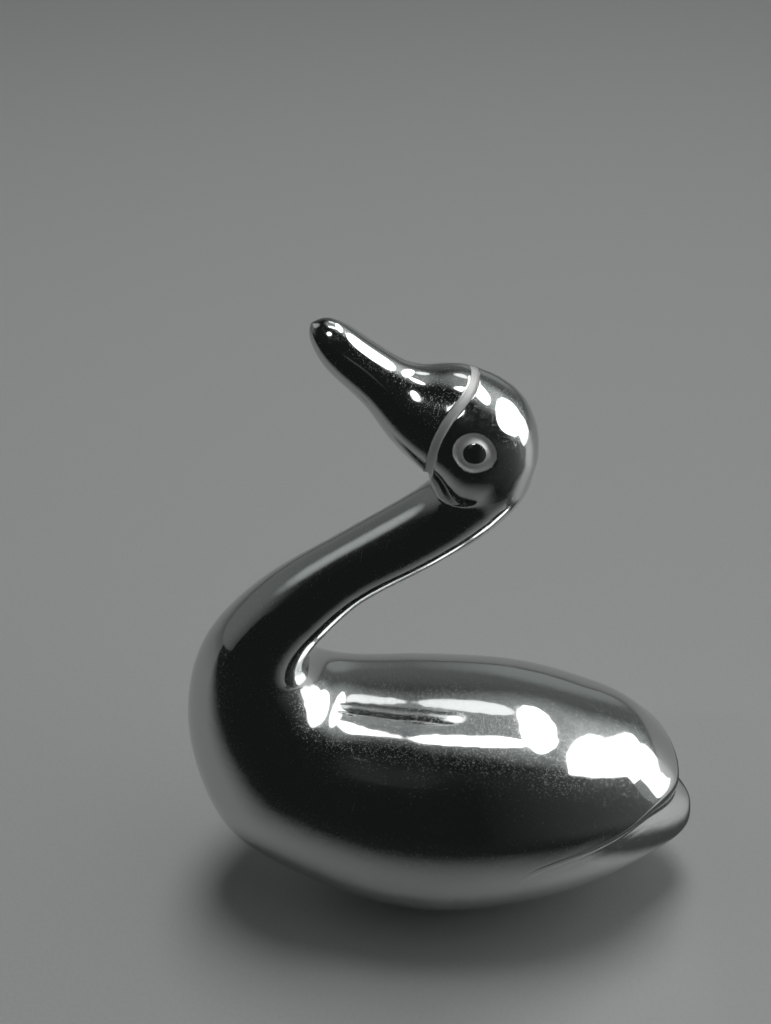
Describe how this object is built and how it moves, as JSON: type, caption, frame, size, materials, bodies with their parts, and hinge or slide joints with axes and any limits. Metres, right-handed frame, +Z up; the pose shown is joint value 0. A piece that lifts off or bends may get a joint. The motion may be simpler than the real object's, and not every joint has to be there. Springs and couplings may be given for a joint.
{
  "type": "swan figurine",
  "caption": "Mirror-polished cast metal swan figurine with an S-curved neck, raised bill, ring eyes and folded wings, standing on its belly.",
  "frame": {"origin": "bottom centre of the figurine's bounding box, on the surface it stands on", "axes": "+Z up, -X the way the bird faces, +Y its right side; the bird's mirror plane is y = 0"},
  "size_m": [0.0702, 0.0338, 0.092],
  "materials": {
    "polished_metal": "mirror polished"
  },
  "bodies": {
    "root": {"swan": "polished_metal"}
  },
  "joints": []
}
